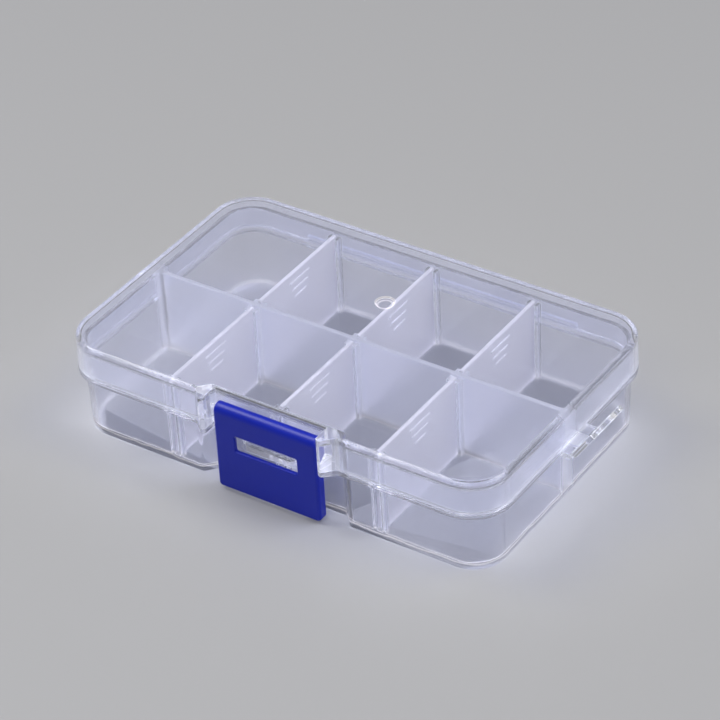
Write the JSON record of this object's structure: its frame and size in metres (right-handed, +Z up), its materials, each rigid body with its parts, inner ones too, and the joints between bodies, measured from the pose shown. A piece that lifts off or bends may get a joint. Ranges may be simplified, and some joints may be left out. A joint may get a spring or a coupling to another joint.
{
  "type": "compartment organizer box",
  "caption": "Clear hinged organizer box with small compartments, lift-out dividers, a flip latch on the front and a folding hang tab on one side.",
  "frame": {"origin": "centre of the underside of the tray", "axes": "+X to the right along the box, +Y to the back where the lid is hinged, +Z up"},
  "size_m": [0.1195, 0.0719, 0.0265],
  "materials": {
    "clear_plastic": "clear moulded polypropylene, slightly milky, smooth",
    "frosted_plastic": "frosted moulded polypropylene, fine matt texture",
    "latch_plastic": "dark blue moulded plastic, satin"
  },
  "bodies": {
    "tray": {"base_tray": "clear_plastic"},
    "lid": {"lid": "clear_plastic"},
    "latch": {"latch": "latch_plastic"},
    "hang_tab": {"hang_tab": "clear_plastic"},
    "divider_back_left": {"divider_back_left": "frosted_plastic"},
    "divider_back_middle": {"divider_back_middle": "frosted_plastic"},
    "divider_back_right": {"divider_back_right": "frosted_plastic"},
    "divider_front_left": {"divider_front_left": "frosted_plastic"},
    "divider_front_middle": {"divider_front_middle": "frosted_plastic"},
    "divider_front_right": {"divider_front_right": "frosted_plastic"}
  },
  "joints": [
    {"name": "lid_hinge", "type": "hinge", "parent": "tray", "child": "lid", "pos_m": [0, 0.0352, 0.01605], "axis": [-1, 0, 0], "range_deg": [0, 175]},
    {"name": "latch_flip", "type": "hinge", "parent": "lid", "child": "latch", "pos_m": [0, -0.0334, 0.02075], "axis": [-1, 0, 0], "range_deg": [0, 105]},
    {"name": "hang_tab_fold", "type": "hinge", "parent": "tray", "child": "hang_tab", "pos_m": [0.0572, 0, 0.01534], "axis": [0, -1, 0], "range_deg": [-140, 28]},
    {"name": "divider_back_left_slide", "type": "slide", "parent": "tray", "child": "divider_back_left", "axis": [0, 0, 1], "range_m": [0, 0.0014]},
    {"name": "divider_back_middle_slide", "type": "slide", "parent": "tray", "child": "divider_back_middle", "axis": [0, 0, 1], "range_m": [0, 0.0014]},
    {"name": "divider_back_right_slide", "type": "slide", "parent": "tray", "child": "divider_back_right", "axis": [0, 0, 1], "range_m": [0, 0.0014]},
    {"name": "divider_front_left_slide", "type": "slide", "parent": "tray", "child": "divider_front_left", "axis": [0, 0, 1], "range_m": [0, 0.0014]},
    {"name": "divider_front_middle_slide", "type": "slide", "parent": "tray", "child": "divider_front_middle", "axis": [0, 0, 1], "range_m": [0, 0.0014]},
    {"name": "divider_front_right_slide", "type": "slide", "parent": "tray", "child": "divider_front_right", "axis": [0, 0, 1], "range_m": [0, 0.0014]}
  ]
}
